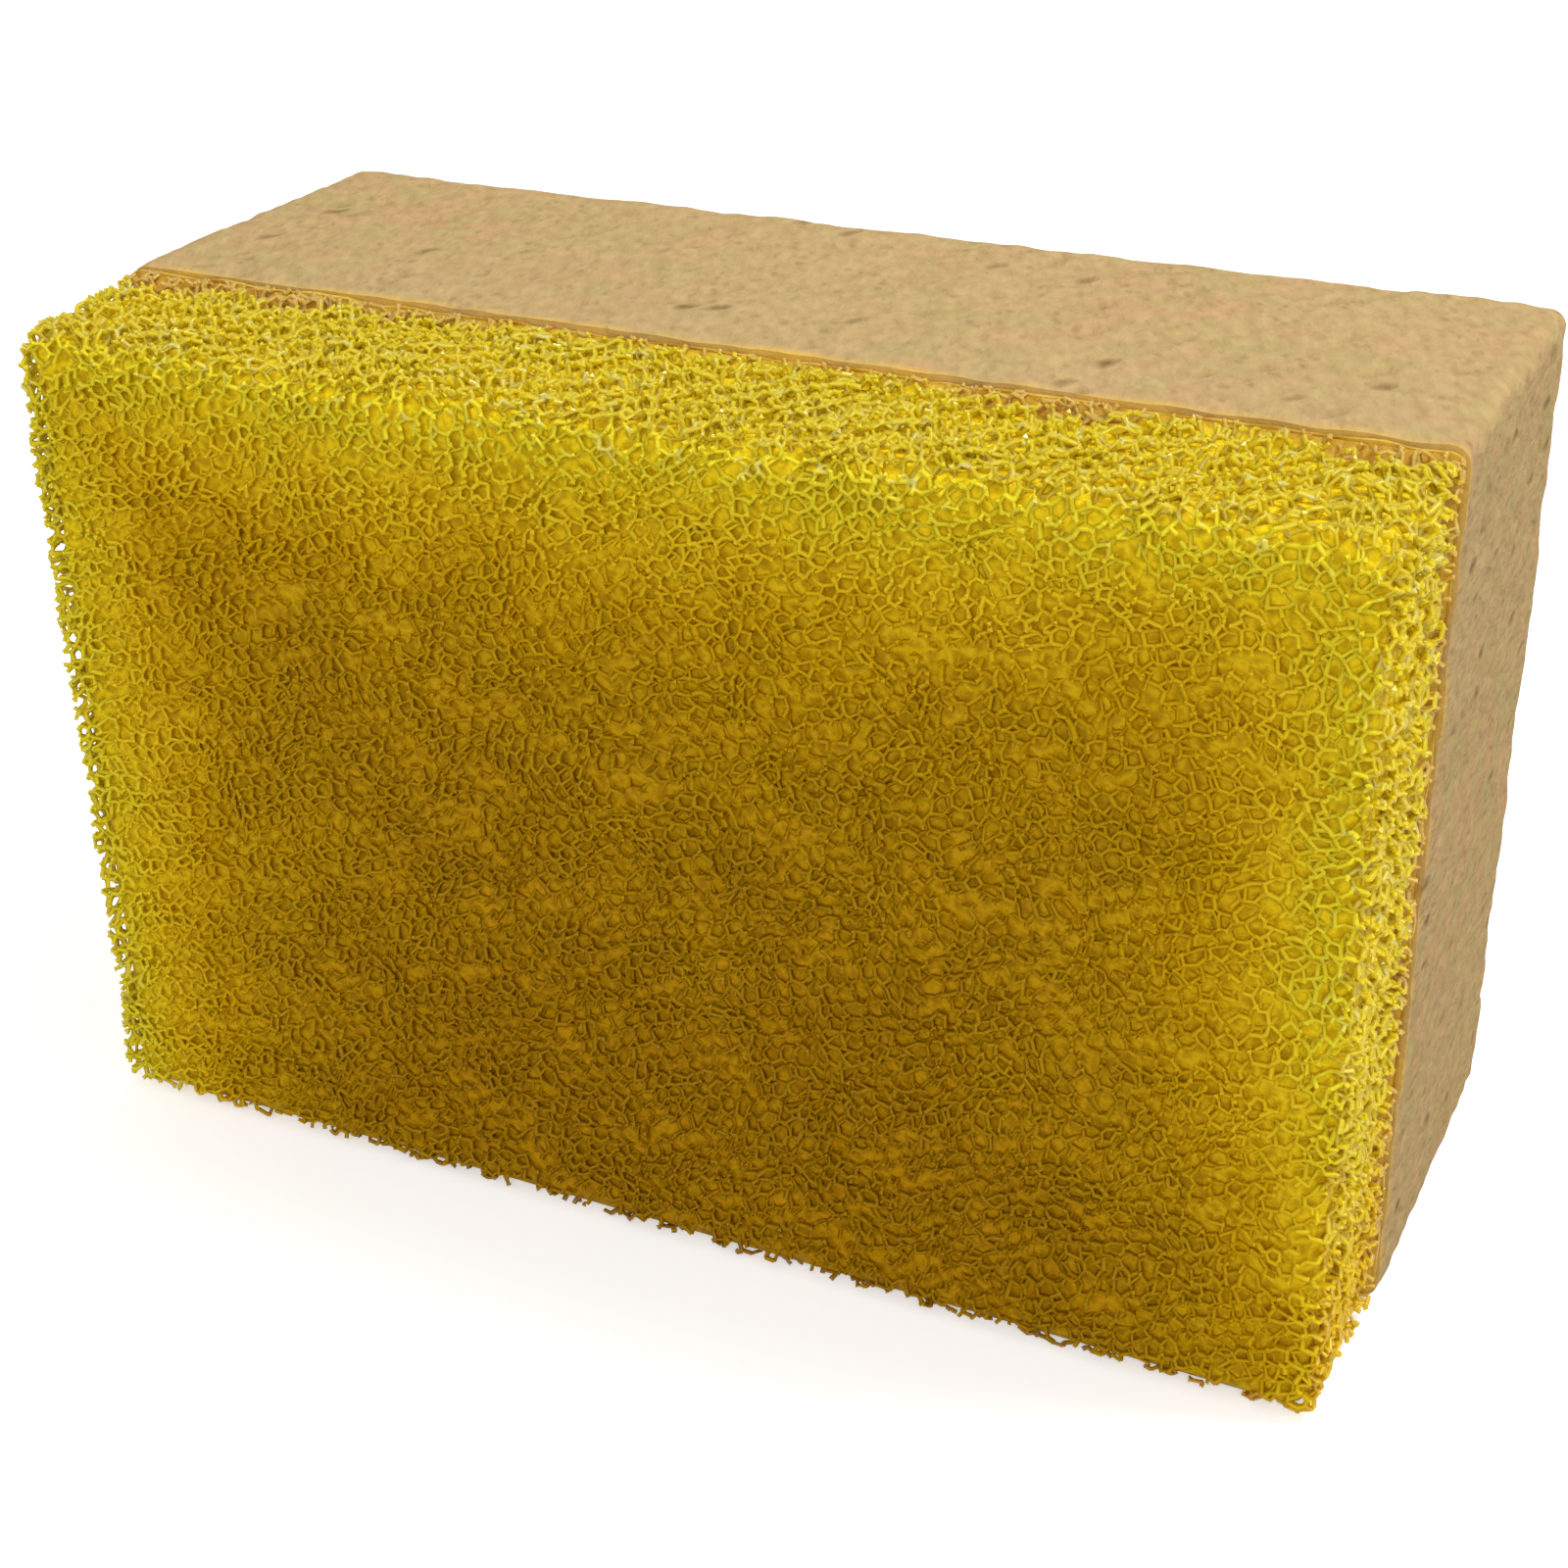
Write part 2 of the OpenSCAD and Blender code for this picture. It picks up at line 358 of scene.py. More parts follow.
@dataclass(frozen=True)
class FineFoamFinish:
    """The dry, matte skin of the cut fine foam, full of tiny pores and short blade slits."""

    tan: Colour = shade(195, 167, 116)
    warm: Colour = shade(200, 161, 115)
    cool: Colour = shade(188, 166, 110)
    # The pore colour is painted shade in the hollows, also used for a random mottle of tone.
    pore: Colour = shade(128, 98, 54)
    glue: Colour = shade(222, 182, 82)
    drift_size: float = 5 * MM
    ground_size: float = 22 * MM
    grain: float = 1.0 * MM
    grain_span: Span = (0.05, 0.5)
    grain_depth: float = 0.08 * MM
    mottle_size: float = 1.2 * MM
    mottle_share: float = 0.3
    pit_span: Span = (0.1, 0.5)
    pit_patch_size: float = 2.0 * MM
    pit_patch_span: Span = (0.48, 0.66)
    pit_share: float = 0.32
    mark_share: float = 0.4
    slit_turn: float = math.radians(65)
    slit_gap: tuple[float, float, float] = (10 * MM, 5 * MM, 5 * MM)
    slit_span: Span = (0.02, 0.17)
    slit_share: float = 0.7
    slit_depth: float = 0.3 * MM
    wander: float = 0.6 * MM
    wander_size: float = 2 * MM
    cut_turn: float = math.radians(115)
    cut_stretch: float = 1.7
    cut_size: float = 1.3 * MM
    cut_detail: Span = (3, 0.55)
    cut_depth: float = 0.32 * MM
    roughness: float = 0.92
    gloss: float = 0.15

    def slits(self, s: Sketch) -> bpy.types.NodeSocket:
        """Scatters long narrow slits.

        Args:
            s: The material's sketch.

        Returns:
            A value that is 1 in a slit.
        """
        waves = {"Vector": s.place, "Scale": 1 / self.wander_size, "Detail": 1.0}
        wander = s.node("ShaderNodeTexNoise", waves).outputs["Color"]
        most = {0: wander, 1: (self.wander,) * 3}
        shift = s.node("ShaderNodeVectorMath", most, operation="MULTIPLY").outputs[0]
        bent = s.node("ShaderNodeVectorMath", {0: s.place, 1: shift}, operation="ADD").outputs[0]
        placed = s.scaled(s.turned(bent, self.slit_turn), tuple(1 / gap for gap in self.slit_gap))
        near = s.node("ShaderNodeTexVoronoi", {"Vector": placed, "Scale": 1.0}).outputs["Distance"]
        return s.spread(near, *self.slit_span, 1.0, 0.0)

    def sunk(self, s: Sketch, slit: bpy.types.NodeSocket) -> bpy.types.NodeSocket:
        """Darkens the pores, the slits and the marks, as painted shade in those hollows.

        Args:
            s: The material's sketch.
            slit: A value that is 1 in a slit.

        Returns:
            A value that is 1 where the foam is as dark as its pores.
        """
        mottle = s.spread(s.noise(self.mottle_size), *GENTLE)
        pits = s.spread(s.cells(self.grain), *self.pit_span, 1.0, 0.0)
        patch = s.spread(s.noise(self.pit_patch_size), *self.pit_patch_span, 0.0, self.pit_share)
        dark = s.maths("MULTIPLY", pits, patch)
        dark = s.maths("MAXIMUM", dark, s.maths("MULTIPLY", slit, self.slit_share))
        marks = s.maths("MULTIPLY", s.attribute("mark"), self.mark_share)
        dark = s.maths("MAXIMUM", dark, marks)
        return s.maths("ADD", dark, s.maths("MULTIPLY", mottle, self.mottle_share))

    def material(self) -> bpy.types.Material:
        """Makes the fine foam's material: soft colour drifts, fine grain, pores and slits.

        Returns:
            The material.
        """
        s = Sketch("fine_foam")
        drift = s.mix(s.spread(s.noise(self.drift_size), *CRISP), self.warm, self.cool)
        plain = s.spread(s.noise(self.ground_size, detail=3), *MEDIUM)
        ground = s.mix(plain, drift, self.tan)
        slit = self.slits(s)
        s.stretch(self.cut_turn, self.cut_stretch)
        # Painted shade in the pores, slits and dents, with a random mottle, darkens to the pore
        # colour.
        foam = s.mix(self.sunk(s, slit), ground, self.pore)
        colour = s.mix(s.attribute("stain"), foam, self.glue)
        coarse = s.bump(s.noise(self.cut_size, *self.cut_detail), self.cut_depth)
        cut = s.bump(s.maths("SUBTRACT", 1.0, slit), self.slit_depth, coarse)
        fine = s.bump(s.spread(s.cells(self.grain), *self.grain_span), self.grain_depth, cut)
        return s.finish(s.plastic(colour, self.roughness, self.gloss, Normal=fine))


@dataclass(frozen=True)
class GlueFinish:
    """Clear amber glue, darker where it lies thick."""

    thin: Colour = shade(224, 182, 66)
    thick: Colour = shade(184, 132, 18)
    patch_size: float = 4 * MM
    bump_size: float = 0.9 * MM
    bump_depth: float = 0.3 * MM
    roughness: float = 0.38
    gloss: float = 0.3

    def material(self) -> bpy.types.Material:
        """Makes the glue's material.

        Returns:
            The material.
        """
        s = Sketch("glue")
        patch = s.spread(s.noise(self.patch_size, detail=3), *CRISP)
        colour = s.mix(patch, self.thin, self.thick)
        normal = s.bump(s.noise(self.bump_size, detail=3), self.bump_depth)
        return s.finish(s.plastic(colour, self.roughness, self.gloss, Normal=normal))


@dataclass(frozen=True)
class FloorFinish:
    """A plain pale floor that the camera sees as near white, with the object's shadow."""

    pale: Colour = shade(246, 246, 246)
    grey: Colour = shade(176, 174, 170)
    roughness: float = 0.85
    gloss: float = 0.1
    lift: float = 0.43

    def material(self) -> bpy.types.Material:
        """Makes the floor's material, which lights the object less than the camera sees.

        Returns:
            The material.
        """
        s = Sketch("pale_floor")
        plain = s.plastic(self.pale, self.roughness, self.gloss)
        lit = s.node("ShaderNodeEmission", {"Color": WHITE, "Strength": self.lift}).outputs[0]
        both = s.node("ShaderNodeAddShader", {0: plain, 1: lit}).outputs[0]
        dull = s.plastic(self.grey, self.roughness, self.gloss)
        path = s.node("ShaderNodeLightPath").outputs
        seen = s.maths("ADD", path["Is Camera Ray"], path["Is Glossy Ray"])
        seen = s.maths("ADD", seen, path["Is Transmission Ray"])
        return s.finish(s.node("ShaderNodeMixShader", {0: seen, 1: dull, 2: both}).outputs[0])


def add_piece(
    name: str, mesh: bpy.types.Mesh, finish: bpy.types.Material, node: str
) -> bpy.types.Object:
    """Makes a dressed piece of the sponge.

    Args:
        name: The piece's name.
        mesh: Its mesh, already in place.
        finish: Its material.
        node: The solid that it stands for.

    Returns:
        The new object.
    """
    piece = bpy.data.objects.new(name, mesh)
    bpy.context.scene.collection.objects.link(piece)
    mesh.materials.clear()
    mesh.materials.append(finish)
    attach(piece, BODY)
    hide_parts(node)
    return piece


def read_rows(mesh: bpy.types.Mesh, name: str = "co") -> np.ndarray:
    """Reads a place or a direction from each of a mesh's points.

    Args:
        mesh: The mesh.
        name: What to read: co for the place or normal for the direction outwards.

    Returns:
        Rows of x, y and z.
    """
    rows = np.empty(len(mesh.vertices) * 3)
    mesh.vertices.foreach_get(name, rows)
    return rows.reshape(-1, 3)


def write_points(mesh: bpy.types.Mesh, points: np.ndarray) -> None:
    """Moves the mesh's points to the given rows of x, y and z."""
    mesh.vertices.foreach_set("co", points.ravel())
    mesh.update()


def write_values(mesh: bpy.types.Mesh, values: dict[str, np.ndarray]) -> None:
    """Adds attributes to a mesh's points, from their values by name."""
    for name, value in values.items():
        mesh.attributes.new(name, "FLOAT", "POINT").data.foreach_set("value", value)


@dataclass(frozen=True)
class Hills:
    """A smooth random pattern, whose shift is where it starts so that no two are alike."""

    size: float
    shift: float

    def at(self, points: np.ndarray) -> np.ndarray:
        """Returns the pattern's height from about -1 to 1 at each row of x, y and z."""
        rows = (points / self.size + self.shift).tolist()
        return np.array([noise.noise(Vector(row)) for row in rows])


@dataclass(frozen=True)
class Drift:
    """A smooth random shift of the net, with its sizes as shares of a cell."""

    size: float
    share: float
    shift: float
    shift_step: float

    def at(self, points: np.ndarray, cell: float) -> np.ndarray:
        """Works out how far the net is shifted.

        Args:
            points: Rows of x, y and z.
            cell: The width of a cell.

        Returns:
            Rows of shifts along x, y and z, as shares of a cell.
        """
        shifts = [self.shift + self.shift_step * axis for axis in range(3)]
        hills = [Hills(self.size * cell, shift).at(points) for shift in shifts]
        return self.share * np.stack(hills, axis=1)


@dataclass
class Slab:
    """A block with rounded edges and an even grid of faces, as the start of a foam piece."""

    low: Vector
    high: Vector
    step: float
    corner_r: float
    back_r: float
    front_r: float
    plain_y: tuple[float, ...] = ()

    def mesh(self, name: str) -> bpy.types.Mesh:
        """Makes the block's mesh, where each hidden face at a y in plain_y is one plain face.

        Args:
            name: The mesh's name.

        Returns:
            The mesh.
        """
        size = self.high - self.low
        bm = bmesh.new()
        bmesh.ops.create_cube(bm, size=1.0)
        bmesh.ops.scale(bm, vec=size, verts=bm.verts)
        bmesh.ops.translate(bm, vec=(self.low + self.high) / 2, verts=bm.verts)
        for axis in range(3):
            along = [
                e for e in bm.edges if abs((e.verts[1].co - e.verts[0].co)[axis]) > self.step
            ]
            cuts = round(size[axis] / self.step) - 1
            bmesh.ops.subdivide_edges(bm, edges=along, cuts=cuts, use_grid_fill=True)
        for y in self.plain_y:
            hidden = [f for f in bm.faces if abs(f.calc_center_median().y - y) < ON_FACE]
            bmesh.ops.dissolve_faces(bm, faces=hidden, use_verts=True)
        mesh = bpy.data.meshes.new(name)
        bm.to_mesh(mesh)
        bm.free()
        write_points(mesh, self.rounded(read_rows(mesh)))
        mesh.shade_smooth()
        mesh.set_sharp_from_angle(angle=SHARP_ANGLE)
        return mesh

    def rounded(self, points: np.ndarray) -> np.ndarray:
        """Moves points of the sharp block onto its rounded corners and edges.

        Args:
            points: Rows of x, y and z.

        Returns:
            The moved points.
        """
        low, high = np.array(self.low), np.array(self.high)
        middle = (low + high) / 2
        half = (high - low)[[0, 2]] / 2 - self.corner_r
        flat = points[:, [0, 2]] - middle[[0, 2]]
        inner = np.clip(flat, -half, half)
        out = flat - inner
        length = np.maximum(np.linalg.norm(out, axis=1, keepdims=True), TINY)
        away = out / length
        far = np.abs(out).max(axis=1, keepdims=True)
        side = self.corner_r - far[:, 0]
        behind = points[:, 1] > middle[1]
        radius = np.where(behind, self.back_r, self.front_r)
        face = np.where(behind, high[1] - points[:, 1], points[:, 1] - low[1])
        u, v = np.clip(1 - side / radius, 0, 1), np.clip(1 - face / radius, 0, 1)
        pull = np.maximum(u, v) / np.maximum(np.hypot(u, v), TINY) - 1
        pull = pull * (u > 0) * (v > 0) * radius
        flat = inner + away * (far + (u * pull)[:, None])
        y = points[:, 1] + np.where(behind, 1, -1) * v * pull
        return np.stack([flat[:, 0] + middle[0], y, flat[:, 1] + middle[2]], axis=1)


@dataclass(frozen=True)
class Mark:
    """A pore or a slit in a cut face, with half its length and half its width."""

    place: np.ndarray
    out: np.ndarray
    along: np.ndarray
    length: float
    width: float
    depth: float
    reach: float = 3.0
    edge: float = 1.5

    def dip(self, points: np.ndarray) -> tuple[np.ndarray, np.ndarray]:
        """Works out how far points sink into the mark.

        Args:
            points: Rows of x, y and z.

        Returns:
            Which points lie near the mark, and how far those sink, from 0 to 1.
        """
        near = np.abs(points - self.place).max(axis=1) < self.reach * self.length
        offset = points[near] - self.place
        across = np.cross(self.out, self.along)
        away = ((offset @ self.along) / self.length) ** 2 + ((offset @ across) / self.width) ** 2
        away += ((offset @ self.out) / MM) ** 2
        return near, np.exp(-(away**self.edge))


@dataclass
class FoamBlock:
    """The tan fine-foam block, with the pores and blade slits of its cut faces."""

    node: str = "foam_block"
    step: float = 0.6 * MM
    corner_r: float = 1.6 * MM
    back_r: float = 1.5 * MM
    front_r: float = 0.05 * MM
    wave: float = 0.22 * MM
    wave_hills: Hills = Hills(7 * MM, 3.1)
    grain: float = 0.16 * MM
    grain_hills: Hills = Hills(2.0 * MM, 8.7)
    bulge: float = 0.15 * MM
    pinch: float = 0.45 * MM
    pinch_mm: float = 1.3
    pinch_lift: float = 0.3
    pinch_hills: Hills = Hills(3.5 * MM, 6.6)
    stain: float = 1.3 * MM
    stain_share: float = 0.6
    stain_hills: Hills = Hills(4 * MM, 2.2)
    mark_gap: float = 7.5 * MM
    mark_stray: float = 0.42
    mark_turn: float = 1.0
    mark_turn_spread: float = 0.4
    black_depth: float = 0.75 * MM
    slits: float = 0.5
    slit_length_mm: Span = (0.9, 2.2)
    slit_width_mm: Span = (0.35, 0.5)
    slit_depth_mm: Span = (0.2, 0.5)
    pore_mm: Span = (0.45, 0.8)
    pore_depth_mm: Span = (0.2, 0.55)
    seed: int = 21

    def marks(self, low: np.ndarray, high: np.ndarray) -> list[Mark]:
        """Scatters marks over the top, the ends and the back.

        Args:
            low: The block's lowest corner.
            high: The block's highest corner.

        Returns:
            The marks.
        """
        draw = np.random.default_rng(self.seed)
        middle = (low + high) / 2
        found = []
        for axis, sign in ((2, 1), (0, 1), (0, -1), (1, 1)):
            u, v = [a for a in range(3) if a != axis]
            out = np.zeros(3)
            out[axis] = sign
            counts = [int((high[a] - low[a]) / self.mark_gap) for a in (u, v)]
            for i, j in np.ndindex(*counts):
                place = middle.copy()
                place[axis] = high[axis] if sign > 0 else low[axis]
                for a, k, n in ((u, i, counts[0]), (v, j, counts[1])):
                    stray = draw.uniform(-self.mark_stray, self.mark_stray)
                    place[a] = low[a] + (k + 0.5 + stray) * (high[a] - low[a]) / n
                turn = draw.normal(self.mark_turn, self.mark_turn_spread)
                along = np.zeros(3)
                along[u], along[v] = math.cos(turn), math.sin(turn)
                if draw.random() < self.slits:
                    length = draw.uniform(*self.slit_length_mm) * MM
                    width = draw.uniform(*self.slit_width_mm) * MM
                    depth = draw.uniform(*self.slit_depth_mm) * MM
                else:
                    length = width = draw.uniform(*self.pore_mm) * MM
                    depth = draw.uniform(*self.pore_depth_mm) * MM
                found.append(Mark(place, out, along, length, width, depth))
        return found

    def build(self) -> bpy.types.Object:
        """Builds and dresses the block.

        Returns:
            The block.
        """
        low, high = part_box(self.node)
        radii = (self.corner_r, self.back_r, self.front_r)
        mesh = Slab(low, high, self.step, *radii, plain_y=(low.y,)).mesh(self.node)
        points = read_rows(mesh)
        height = self.wave * self.wave_hills.at(points) + self.grain * self.grain_hills.at(points)
        sunk = np.zeros(len(points))
        for mark in self.marks(np.array(low), np.array(high)):
            near, dip = mark.dip(points)
            # Painted shade: each dent is darkened through the mark attribute by how deep it sinks.
            sunk[near] = np.maximum(sunk[near], dip * mark.depth / self.black_depth)
            height[near] -= mark.depth * dip
        from_glue = (points[:, 1] - low.y) / MM
        pinch = self.pinch * np.exp(-((from_glue / self.pinch_mm) ** 2))
        pinch = pinch * np.clip(self.pinch_hills.at(points) + self.pinch_lift, 0, 1)
        height = np.minimum(height, self.bulge) * np.clip(from_glue, 0, 1) - pinch
        flat = np.clip((points[:, 2] - low.z) / MM, 0, 1)
        write_points(mesh, points + read_rows(mesh, "normal") * (height * flat)[:, None])
        stain = np.clip(1 - (points[:, 1] - low.y) / self.stain, 0, 1)
        stain = stain * (self.stain_share + self.stain_share * self.stain_hills.at(points))
        write_values(mesh, {"mark": np.clip(sunk, 0, 1), "stain": np.clip(stain, 0, 1)})
        finish = FineFoamFinish().material()
        piece = add_piece("fine_foam_block", mesh, finish, self.node)
        return piece


@dataclass
class GlueFilm:
    """The thin amber film of glue between the two foams, with an uneven edge."""

    node: str = "bond_film"
    step: float = 1.0 * MM
    corner_r: float = 1 * MM
    uneven: float = 0.35 * MM
    uneven_hills: Hills = Hills(3 * MM, 5.5)
    uneven_drop: float = 0.4
    edge: float = 2 * MM
    over_floor: float = 0.05 * MM

    def build(self) -> bpy.types.Object:
        """Builds and dresses the film.

        Returns:
            The film.
        """
        low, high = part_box(self.node)
        radius = (high.y - low.y) / 3
        slab = Slab(low, high, self.step, self.corner_r, radius, radius, plain_y=(low.y, high.y))
        mesh = slab.mesh(self.node)
        points = read_rows(mesh)
        middle = np.array((low + high) / 2)
        out = points - middle
        out[:, 1] = 0
        from_top = high.z - middle[2] - np.abs(points[:, 2] - middle[2])
        from_edge = np.minimum(high.x - np.abs(points[:, 0]), from_top)
        push = np.clip(1 - from_edge / self.edge, 0, 1) * self.uneven
        push = push * (self.uneven_hills.at(points) - self.uneven_drop)
        length = np.maximum(np.abs(out[:, 0] / middle[2]), np.abs(out[:, 2] / middle[2]))
        points += out / np.maximum(length, TINY)[:, None] / middle[2] * push[:, None]
        points[:, 2] = np.maximum(points[:, 2], self.over_floor)
        write_points(mesh, points)
        return add_piece("glue_film", mesh, GlueFinish().material(), self.node)


@dataclass(frozen=True)
class Nick:
    """A worn notch in the layer's rim, with its place and sizes in millimetres."""

    x: float
    z: float
    half: float
    deep: float
    inward: float = 4.0

    def depth(self, points: np.ndarray) -> np.ndarray:
        """Returns how deep the notch is in metres at each row of x, y and z."""
        x, z = points[:, 0] / MM - self.x, points[:, 2] / MM - self.z
        return self.deep * MM * np.exp(-(np.hypot(x / self.inward, z / self.half) ** 2))


@dataclass
class ScrubLayer:
    """The coarse yellow scrub foam: a net of threads where it was cut, over its shaded core."""

    node: str = "scrub_layer"
    low: Vector = field(default_factory=Vector)
    high: Vector = field(default_factory=Vector)
    seed: int = 7

    # The layer's cut surface.
    corner_r: float = 4.8 * MM
    base_corner_r: float = 2.8 * MM
    glued_corner_r: float = 1.4 * MM
    edge_r: float = 3.0 * MM
    base_edge_r: float = 1.9 * MM
    base_rise: float = 8 * MM
    fray: float = 0.8 * MM
    fray_hills: Hills = Hills(2.2 * MM, 9.3)
    fray_lift: float = 0.25
    wear: float = 0.2 * MM
    wear_hills: Hills = Hills(9 * MM, 1.7)
    wear_lift: float = 0.2
    ragged_edge: float = 3 * MM
    ragged_least: float = 0.15
    whole_base: float = 1.5 * MM
    glued_edge: float = 4 * MM
    nicks: tuple[Nick, ...] = (Nick(-60, 56, 3.5, 0.4), Nick(-60, 36, 4.0, 0.4))

    # The net of threads.
    cell: float = 1.85 * MM
    turn: tuple[float, float, float] = (0.41, 0.73, 0.29)
    margin: float = 2.5
    stray: float = 0.07
    near_drift: Drift = Drift(2.3, 0.45, 2.0, 4.1)
    far_drift: Drift = Drift(6, 0.65, 7.7, 2.9)
    thread_r: float = 0.22 * MM
    thickness: Span = (0.8, 1.25)
    sides: int = 3
    into_glue: float = 0.3 * MM
    shell: float = 2.2 * MM
    left_shell: float = 2.6 * MM
    left_edge: float = 3 * MM
    front_shell: float = 1.4 * MM
    base_shell: float = 0.6 * MM
    whole: float = 0.999
    shortest: float = 0.2
    stub_chance: float = 0.75
    right_stub_chance: float = 0.3
    right_edge: float = 10 * MM
    base_stub_chance: float = 0.15
    base_edge: float = 3 * MM
    bands: int = 4
    map_edge: float = 0.002

    # The painted light at the rim, the painted shade towards the base, and the soaked glue.
    rim_fade: float = 15 * MM
    right_fade: float = 12 * MM
    right_least: float = 0.6
    right_rise: float = 40 * MM
    rim_least: float = 0.1
    low_shade: float = 0.14
    low_rise: float = 30 * MM
    low_lift: float = 0.2
    low_lift_rise: float = 3 * MM
    low_start: float = 25 * MM
    soaked_mm: tuple[Span, ...] = ((-59.0, -21.0), (21.0, 34.0), (48.0, 59.0))
    soak_ends: float = 4 * MM
    soak_mm: Span = (0.4, 3.0)
    soak_share: Span = (0.55, 0.6)
    soak_hills: Hills = Hills(5 * MM, 4.4)
    soak_fade: float = 0.8 * MM

    # The core.
    core_step: float = 1.0 * MM
    core_inset: float = 1.15 * MM
    rim_inset: float = 1.45 * MM
    left_inset: float = 2.0 * MM
    right_inset: float = 1.5 * MM
    base_inset: float = 0.05 * MM
    core_corner_r: float = 2.1 * MM
    core_back_r: float = 0.3 * MM
    core_edge_r: float = 2.3 * MM
    core_push: float = 0.18 * MM
    core_hills: Hills = Hills(2.2 * MM, 6.2)
    core_push_most: float = 0.15
    collar: float = 1.2 * MM
    collar_inset: float = 0.35 * MM

    def outline_depth(self, points: np.ndarray) -> np.ndarray:
        """Works out how far points lie inside the layer's outline, seen from the front.

        Args:
            points: Rows of x, y and z.

        Returns:
            The depths in metres.
        """
        forward = np.clip((self.high.y - points[:, 1]) / (self.high.y - self.low.y), 0, 1)
        up = np.clip((points[:, 2] - self.low.z) / (self.high.z - self.low.z), 0, 1)
        front = self.base_corner_r + up * (self.corner_r - self.base_corner_r)
        corner = self.glued_corner_r + forward * (front - self.glued_corner_r)
        half = np.array([self.high.x - self.low.x, self.high.z - self.low.z]) / 2
        middle = np.array([self.high.x + self.low.x, self.high.z + self.low.z]) / 2
        q = np.abs(points[:, [0, 2]] - middle) - half + corner[:, None]
        return corner - np.linalg.norm(np.maximum(q, 0), axis=1) - np.minimum(q.max(axis=1), 0)

    def depth(self, points: np.ndarray) -> np.ndarray:
        """Works out how far points lie inside the ragged cut surface, without the glued back.

        Args:
            points: Rows of x, y and z.

        Returns:
            The depths in metres.
        """
        side = self.outline_depth(points)
        front = points[:, 1] - self.low.y
        pair = np.stack([side, front])
        up = np.clip((points[:, 2] - self.low.z) / self.base_rise, 0, 1)
        edge = self.base_edge_r + up * (self.edge_r - self.base_edge_r)
        short = np.linalg.norm(np.maximum(edge - pair, 0), axis=0)
        plain = np.where(pair.max(axis=0) < edge, edge - short, pair.min(axis=0))
        ragged = np.clip(1 - side / self.ragged_edge, self.ragged_least, 1)
        ragged = ragged * (points[:, 2] > self.low.z + self.whole_base)
        patches = self.wear * np.clip(self.wear_hills.at(points) + self.wear_lift, 0, 1)
        patches += self.fray * np.clip(self.fray_hills.at(points) + self.fray_lift, 0, 1)
        for nick in self.nicks:
            patches += nick.depth(points)
        glued = np.clip((self.high.y - points[:, 1]) / self.glued_edge, 0.0, 1)
        return plain - self.thread_r - ragged * glued * patches

    def reach(self, points: np.ndarray) -> np.ndarray:
        """Works out how deep the modelled threads go, by the nearest side.

        Args:
            points: Rows of x, y and z.

        Returns:
            The depths in metres.
        """
        to_base = points[:, 2] - self.low.z
        to_front = points[:, 1] - self.low.y
        to_rim = np.minimum(self.high.z - points[:, 2], self.high.x - np.abs(points[:, 0]))
        on_left = points[:, 0] < self.low.x + self.left_edge
        rim_shell = np.where(on_left, self.left_shell, self.shell)
        deep = np.where(to_front < to_rim, self.front_shell, rim_shell)
        return np.where(to_base < np.minimum(to_rim, to_front), self.base_shell, deep)

    def corners(self) -> tuple[np.ndarray, np.ndarray]:
        """Packs turned fourteen-sided cells and keeps those near the cut surface.

        Returns:
            The cells' corners, in whole quarters of a cell and in metres.
        """
        low, high = np.array(self.low), np.array(self.high)
        reach = int((self.high - self.low).length / self.cell) // 2 + 2
        quarter = np.arange(-4 * reach, 4 * reach, dtype=np.int32)
        cubes = np.stack(np.meshgrid(*[quarter[::4]] * 3, indexing="ij"), axis=-1).reshape(-1, 3)
        grid = np.concatenate([cubes + corner for corner in CELL_CORNERS])
        turns = [Matrix.Rotation(angle, 3, axis) for angle, axis in zip(self.turn, "XZY")]
        rotation = np.array(turns[0] @ turns[1]) @ np.array(turns[2])
        points = grid * (self.cell / 4) @ rotation.T + np.array((self.low + self.high) / 2)
        margin = self.margin * self.cell
        near = np.all((points > low - margin) & (points < high + margin), axis=1)
        grid, points = grid[near], points[near]
        plain = np.minimum(self.outline_depth(points), points[:, 1] - self.low.y)
        near = (plain > -margin) & (plain < self.left_shell + margin)
        return grid[near], points[near]

    def lattice(self) -> tuple[np.ndarray, np.ndarray]:
        """Joins the cells' corners into the foam's net, and warps it.

        Returns:
            The net's points, and the pairs of points that threads join.
        """
        grid, points = self.corners()
        key = self.key(grid)
        order = np.argsort(key)
        grid, points, key = grid[order], points[order], key[order]
        pairs = []
        for step in THREAD_STEPS:
            other = self.key(grid + np.array(step))
            found = np.minimum(np.searchsorted(key, other), len(key) - 1)
            hit = key[found] == other
            pairs.append(np.stack([np.flatnonzero(hit), found[hit]], axis=1))
        draw = np.random.default_rng(self.seed)
        points = points + draw.normal(0, self.stray * self.cell, points.shape)
        warp = self.near_drift.at(points, self.cell) + self.far_drift.at(points, self.cell)
        return points + self.cell * warp, np.concatenate(pairs)

    @staticmethod
    def key(grid: np.ndarray) -> np.ndarray:
        """Returns one whole number for each point of the net's grid."""
        wide = grid.astype(np.int64) + GRID_SPAN // 2
        return (wide[:, 0] * GRID_SPAN + wide[:, 1]) * GRID_SPAN + wide[:, 2]

